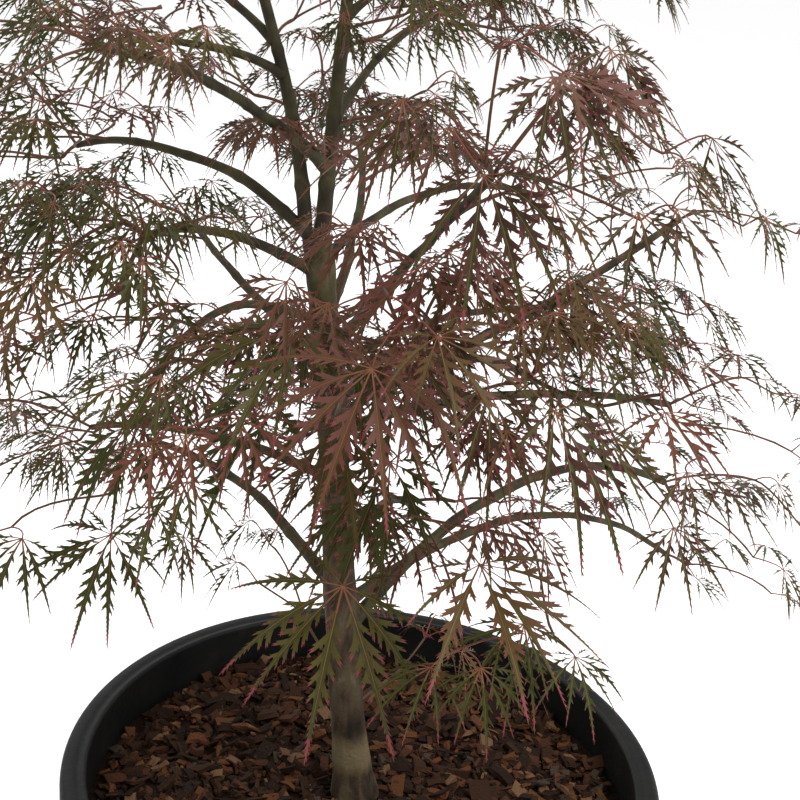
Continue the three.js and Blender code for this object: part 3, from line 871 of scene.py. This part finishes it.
def lobe_shape(rng, pairs, fine):
    """One lobe of a leaf in units of its length: points (along, across, height) and triangles with zones.

    A lobe is a bare vein, then a narrow blade with forward-pointing side lobes that are longest near its
    middle, then a long toothed tip.
    """
    points, triangles, zones = [], [], []

    def add_point(along, across, height=0.0):
        points.append((along, across, height))
        return len(points) - 1

    def add_face(zone, flipped, *corners):
        if flipped:
            corners = corners[::-1]
        for second, third in zip(corners[1:-1], corners[2:]):
            triangles.append((corners[0], second, third))
            zones.append(zone)

    stations = np.array(LOBE_STATIONS if fine else LOBE_STATIONS[::2] + LOBE_STATIONS[-1:])
    half_widths = np.interp(stations, *zip(*BLADE_WIDTHS)) * rng.uniform(0.9, 1.15)
    centre = [add_point(s, 0) for s in stations]
    for sign in (1, -1):
        rim = [add_point(s, sign * w, 0.25 * w) for s, w in zip(stations, half_widths)]
        for i, s in enumerate(stations[:-1]):
            zone = VEIN if s < BARE_VEIN - 0.03 else EDGE if s > CRIMSON_START else CORE
            add_face(zone, sign > 0, centre[i], centre[i + 1], rim[i + 1], rim[i])
    ridge = [[add_point(s, side * VEIN_WIDTH * (1.1 - s), 0.004) for s in stations] for side in (1, -1)]
    for i, s in enumerate(stations[:-1]):
        if s < 0.7:
            add_face(VEIN, False, ridge[0][i], ridge[0][i + 1], ridge[1][i + 1], ridge[1][i])

    def side_lobe(start, sign, length, angle):
        """A slim, pointed, toothed side lobe that sets off from the blade at `start`."""
        turn = np.array([[math.cos(angle), -math.sin(angle)], [math.sin(angle), math.cos(angle)]])

        def at(along, across):
            x, y = turn @ np.array([along * length, across * length])
            return add_point(start + x, sign * (0.004 + y), 0.25 * abs(0.004 + y))

        flipped = sign > 0
        base_in, base_out = at(-0.14, 0.05), at(0.20, -0.08)
        inner, outer = at(0.46, 0.095), at(0.42, -0.09)
        neck_in, neck_out = at(0.82, 0.06), at(0.76, -0.035)
        add_face(BLADE, flipped, base_in, base_out, outer, inner)
        add_face(BLADE, flipped, inner, outer, neck_out, neck_in)
        add_face(EDGE, flipped, neck_in, neck_out, at(1.0, 0.05))
        add_face(BLADE, flipped, outer, at(0.66, -0.15), at(0.58, -0.05))
        if fine:
            add_face(BLADE, flipped, at(0.24, -0.075), at(0.44, -0.15), outer)
            add_face(BLADE, flipped, at(0.66, 0.075), at(0.72, 0.16), inner)
            add_face(EDGE, flipped, neck_in, at(0.93, 0.12), at(0.68, 0.07))

    for sign in (1, -1):
        for i in range(pairs):
            share = (i + 0.5 * (sign > 0) + rng.uniform(-0.12, 0.12)) / pairs
            start = BARE_VEIN + (TAIL_START - BARE_VEIN) * share
            length = np.interp(share, *zip(*SIDE_LENGTHS)) * rng.uniform(0.85, 1.15)
            side_lobe(start, sign, length, math.radians(31 - 10 * share + rng.uniform(-4, 4)))
        start = TAIL_START + TOOTH_STEP * (0.9 if sign > 0 else 0.4)
        while start < 0.94:
            half = np.interp(start, *zip(*BLADE_WIDTHS))
            size = TOOTH_STEP * (1.7 - start)
            foot, back = (start, 0.6 * half), (start + 0.8 * size, 0.7 * half)
            point = (start + 1.4 * size, half + 0.28 * size)
            add_face(EDGE, sign < 0, *(add_point(x, sign * y) for x, y in (foot, back, point)))
            start += TOOTH_STEP if fine else 2 * TOOTH_STEP
    return np.array(points), np.array(triangles), np.array(zones)


def bent_lobes(shape, origins, directions, normals, lengths, droops, folds, twists):
    """The points of many lobes of one shape, each set off in its direction and bent down by its weight."""
    along, across, height = shape.T
    steps = np.linspace(0, 1, 25)
    weight = droops[:, None] * steps[None] ** 1.25
    tangents = unit(directions[:, None] - UP * weight[..., None])
    middles = (tangents[:, 1:] + tangents[:, :-1]) / 2 * (steps[1] - steps[0])
    spine = np.concatenate([np.zeros((len(origins), 1, 3)), np.cumsum(middles, axis=1)], axis=1)
    place = np.clip(along, 0, 1.05) * (len(steps) - 1)
    lower = np.minimum(place.astype(int), len(steps) - 2)
    part = (place - lower)[None, :, None]
    on_spine = spine[:, lower] * (1 - part) + spine[:, lower + 1] * part
    tangent = unit(tangents[:, lower] * (1 - part) + tangents[:, lower + 1] * part)
    side = unit(np.cross(normals[:, None], tangent))
    normal = np.cross(tangent, side)
    twist = twists[:, None] * along[None]
    turned_side = side * np.cos(twist)[..., None] + normal * np.sin(twist)[..., None]
    turned_normal = np.cross(tangent, turned_side)
    lift = height[None] + folds[:, None] * np.abs(across)[None] - 1.1 * across[None] ** 2
    offset = turned_side * across[None, :, None] + turned_normal * lift[..., None]
    return origins[:, None] + (on_spine + offset) * lengths[:, None, None]


def add_leaves(parts, leaves, shapes, rng):
    """Adds leaves to a piece: their lobes are grouped by shape, and each shape's lobes are bent at once."""
    lobes = []
    for junction, facing, length, tint in leaves:
        side = unit(np.cross(facing, UP) + rng.normal(0, 0.12, 3))
        side = unit(side - facing * (side @ facing))
        normal = np.cross(side, facing)
        droop = rng.uniform(0.55, 1.3)
        many = length >= LARGE_LEAF * MM or rng.random() < 0.35
        for angle, share in LOBES if many else LOBES[:-2]:
            turn = math.radians(angle + rng.normal(0, 4.5))
            way = facing * math.cos(turn) + side * math.sin(turn) + normal * rng.normal(0.02, 0.07)
            size = length * share * rng.uniform(0.88, 1.08)
            lobes.append((junction, unit(way), normal, size, droop * rng.uniform(0.7, 1.4), tint))
    pick = rng.integers(0, len(shapes), len(lobes))
    for index, (points, triangles, zones) in enumerate(shapes):
        group = [lobe for lobe, choice in zip(lobes, pick) if choice == index]
        if not group:
            continue
        origins, ways, normals, sizes, droops, tints = (np.array(column) for column in zip(*group))
        folds = rng.uniform(0.1, 0.8, len(group))
        twists = rng.normal(0, 0.5, len(group))
        vertices = bent_lobes(points, origins, ways, normals, sizes, droops, folds, twists)
        corners = triangles[None] + np.arange(len(group))[:, None, None] * len(points)
        slots = np.where(zones[None] == BLADE, tints[:, None], len(BLADE_TINTS) - CORE - 1 + zones[None])
        slots = np.where(zones[None] == CORE, np.array(CORE_TINTS)[tints][:, None], slots)
        parts.add(vertices, corners, slots.ravel())


def limb_end(place):
    """The last stretch of the bough or leader that a pad grows on, and the radius of its end."""
    if place in LEADERS:
        return np.array([leader_point(place, t) for t in (0.9, 1.0)]), LEADERS[place]["radii"][1] * MM
    return bough_line(place, 12)[-2:], BOUGHS[place][8] * MM


def build_crown():
    crown, materials = Crown(), leaf_materials()
    rng = np.random.default_rng(SEED)
    fine_lobes = [lobe_shape(rng, 5, True) for _ in range(6)]
    plain_lobes = [lobe_shape(rng, 4, False) for _ in range(4)]
    all_pads = [place for region in REGIONS.values() for place in region["pads"]]
    for name, region in REGIONS.items():
        crown.leaves = []
        for place in region["pads"]:
            # Every pad has its own random numbers, so a change to one leaves the others as they are.
            pad_rng = np.random.default_rng((SEED, all_pads.index(place) + 1))
            line, thickest = limb_end(place)
            crown.grow_pad(place, line[1], unit(line[1] - line[0]), thickest, region, pad_rng)
            if place in BOUGHS:
                crown.grow_side_shoots(place, region, pad_rng)
        for stem, shoots in STEM_SHOOTS.items():
            if name == SHOOT_REGIONS[stem]:
                crown.grow_stem_shoots(stem, shoots, region, rng)
        parts = MeshParts()
        add_leaves(parts, [leaf for leaf in crown.leaves if leaf[2] > FINE_LEAF * MM], fine_lobes, rng)
        add_leaves(parts, [leaf for leaf in crown.leaves if leaf[2] <= FINE_LEAF * MM], plain_lobes, rng)
        nodes = [f"foliage_{place}" for place in region["pads"]]
        parts.build(f"leaves_{name}", materials, "foliage", *nodes)
    old = new_material("twig_bark", (0.055, 0.036, 0.017), 0.6, 700, 0.0005, specular=0.25)
    young = new_material("young_twig", (0.085, 0.036, 0.018), 0.6, 700, 0.0004, specular=0.25)
    crown.twigs.build("twigs", [old, young], "bough_bark")
    stalk = new_material("leaf_stalk", (0.150, 0.044, 0.026), 0.5, 800, 0.0003, specular=0.25)
    crown.stalks.build("leaf_stalks", [stalk], "foliage")


# ---- Pot and mulch ----


def wall_radius(height):
    """The outer radius of the pot's tapering wall."""
    top = POT["height"] - POT["lip"]
    return POT["base"] + (POT["rim"] - POT["overhang"] - POT["base"]) * height / top


MULCH_EDGE = wall_radius(GROUND) - POT["wall"] - 0.4  # its radius at the pot's wall, in mm


def arc(centre, radius, start, end, count):
    """Points on an arc in the (radius, height) plane."""
    angles = np.radians(np.linspace(start, end, count))
    return [(centre[0] + radius * math.cos(a), centre[1] + radius * math.sin(a)) for a in angles]


def build_pot():
    height, lip_foot = POT["height"], POT["height"] - POT["lip"]
    inner = POT["rim"] - POT["overhang"] - POT["wall"]
    bead = POT["round"]
    outline = [(0, 0.6), (60, 0.4), (118, 0.4), (121, 0), *arc((POT["base"] - 3, 3), 3, -90, 0, 5)]
    band_low, band_high, band_depth = POT["band"]
    for level in np.linspace(8, lip_foot - 4, 30):
        outline.append((wall_radius(level) + (band_depth if band_low < level < band_high else 0), level))
    outline += arc((wall_radius(lip_foot) + 2, lip_foot - 2), 2, 180, 90, 4)
    outline += arc((POT["rim"] - 1.6, lip_foot + 1.6), 1.6, -90, 0, 4)
    outline += arc((POT["rim"] - bead, height - bead), bead, 0, 90, 8)
    outline += [(inner + 6.5, height - 0.2), (inner + 5.2, height - 0.9), (inner + 3.6, height - 0.5)]
    outline += arc((inner + 2, height - 2), 2, 90, 180, 5)
    floor_radius = wall_radius(POT["floor"]) - POT["wall"]
    outline += [(inner, lip_foot), (floor_radius, POT["floor"]), (0, POT["floor"])]
    vertices, triangles = lathe(np.array(outline) * MM, 160)
    parts = MeshParts()
    parts.add(vertices, triangles)
    material = new_material("pot_plastic", POT_TINTS[0][1], 0.55, 260, 0.0005, 0.12, roughness_spread=0.08)
    parts.build("pot_shell", [color_by_noise(material, POT_TINTS, 30)], "pot_plastic", "pot")


def chip_shape():
    """A unit bark chip: a bent slab of three cross-sections, as corner signs and triangles."""
    corners = [(x, y, z) for x in (-1, 0, 1) for y, z in ((-1, -1), (1, -1), (1, 1), (-1, 1))]
    faces = []
    for row in (0, 4):
        for k in range(4):
            a, b = row + k, row + (k + 1) % 4
            faces += [(a, b, b + 4), (a, b + 4, a + 4)]
    faces += [(0, 3, 2), (0, 2, 1), (8, 9, 10), (8, 10, 11)]
    return np.array(corners, float) * 0.5, np.array(faces)


def soil_level(radius):
    """The height of the soil under the chips, highest round the trunk. Radius and height in mm."""
    slope = (radius - MOUND) / (MULCH_EDGE - MOUND)
    return GROUND - SOIL_DEPTH - MULCH_SAG * np.clip(slope, 0, 1)


def soil_lumps(x, y):
    levels = [
        noise.noise(Vector((a, b, 0)) * 60) + 0.5 * noise.noise(Vector((a, b, 5)) * 160)
        for a, b in zip(x.ravel(), y.ravel())
    ]
    return np.array(levels).reshape(x.shape) * 2.4 * MM


def placed_chips(corners, rng):
    """The corner points of all chips in their places, and each chip's length in mm."""
    radius = np.sqrt(rng.uniform(0.006, 1, CHIPS)) * (MULCH_EDGE - 5)
    angle = rng.uniform(0, 2 * math.pi, CHIPS)
    long = rng.gamma(3.2, 2.5, CHIPS).clip(2.5, 23)
    wide = long * rng.uniform(0.22, 0.62, CHIPS)
    thick = rng.uniform(0.8, 3.4, CHIPS).clip(0, wide)
    radius = np.minimum(radius, MULCH_EDGE - long * 0.5)
    level = soil_level(radius) + rng.uniform(-1.0, 4.2, CHIPS)
    centres = np.stack([radius * np.cos(angle), radius * np.sin(angle), level], -1) * MM
    shapes = corners[None] * np.stack([long, wide, thick], -1)[:, None] * MM
    shapes = shapes * rng.uniform(0.65, 1.2, (CHIPS, len(corners), 1))
    shapes[:, 4:8, 2] += (rng.normal(0, 0.07, CHIPS) * long * MM)[:, None]
    yaw = rng.uniform(0, 2 * math.pi, CHIPS)
    pitch = rng.normal(0, 0.30, CHIPS)
    roll = rng.normal(0, 0.35, CHIPS)
    placed = []
    for points, centre, a, b, c in zip(shapes, centres, yaw, pitch, roll):
        turn = Matrix.Rotation(a, 3, "Z") @ Matrix.Rotation(b, 3, "Y") @ Matrix.Rotation(c, 3, "X")
        placed.append(points @ np.array(turn).T + centre)
    return placed, long


def build_mulch():
    rng = np.random.default_rng(SEED + 1)
    parts = MeshParts()
    radii = np.linspace(0.4, MULCH_EDGE, 70)
    profile = np.stack([radii, soil_level(radii)], -1) * MM
    vertices, triangles = lathe(profile, 220, soil_lumps)
    parts.add(vertices, triangles[:, ::-1], 0)
    corners, faces = chip_shape()
    placed, lengths = placed_chips(corners, rng)
    foot = trunk_point(GROUND + 4)
    shares = [share for _, share in CHIP_TINTS.values()]
    for points, length, tint in zip(placed, lengths, rng.choice(len(shares), CHIPS, p=shares)):
        if np.linalg.norm((points.mean(0) - foot)[:2]) > (13 + 0.3 * length) * MM:
            parts.add(points, faces, 1 + tint)
    tints = {"soil": SOIL_TINT, **{f"chip_{name}": tint for name, (tint, _) in CHIP_TINTS.items()}}
    materials = [new_material(name, tint, 0.85, 600, 0.002, specular=0.12) for name, tint in tints.items()]
    piece = parts.build("bark_chips", materials, "bark_mulch", "bark_mulch")
    piece.data.polygons.foreach_set("use_smooth", np.zeros(len(piece.data.polygons), bool))


# ---- Stage ----


def build_stage():
    scene = bpy.context.scene
    scene.view_settings.view_transform = "Standard"
    mesh = bpy.data.meshes.new("floor")
    turns = [2 * math.pi * side / FLOOR_SIDES for side in range(FLOOR_SIDES)]
    rim = [(FLOOR_RADIUS * MM * math.cos(turn), FLOOR_RADIUS * MM * math.sin(turn), 0) for turn in turns]
    mesh.from_pydata(rim, [], [range(FLOOR_SIDES)])
    floor = bpy.data.objects.new("floor", mesh)
    scene.collection.objects.link(floor)
    paper = new_material("floor", (0.97, 0.97, 0.97), 0.9, 40, 0.0001, roughness_spread=0.03)
    floor.data.materials.append(paper)
    world = bpy.data.worlds.new("studio")
    scene.world = world
    world.use_nodes = True
    world.node_tree.nodes["Background"].inputs["Color"].default_value = (1, 1, 1, 1)
    world.node_tree.nodes["Background"].inputs["Strength"].default_value = 1.0
    for name, place, size, power in LAMPS:
        light = bpy.data.lights.new(name, "AREA")
        light.size, light.energy = size, power
        lamp = bpy.data.objects.new(name, light)
        scene.collection.objects.link(lamp)
        lamp.location = place
        lamp.rotation_mode = "QUATERNION"
        lamp.rotation_quaternion = (Vector(LIT_POINT) - Vector(place)).to_track_quat("-Z", "Y")


def build_camera():
    data = bpy.data.cameras.new("camera")
    data.sensor_width = 36
    data.lens = data.sensor_width / 2 / math.tan(FIELD_OF_VIEW / 2)
    camera = bpy.data.objects.new("camera", data)
    bpy.context.scene.collection.objects.link(camera)
    level = Matrix.Rotation(math.pi / 2 - CAMERA_PITCH, 4, "X")
    camera.matrix_world = Matrix.Translation(CAMERA_AT) @ level @ Matrix.Rotation(CAMERA_ROLL, 4, "Z")
    bpy.context.scene.camera = camera


build_camera()
build_stage()
build_pot()
build_mulch()
build_limbs()
build_crown()
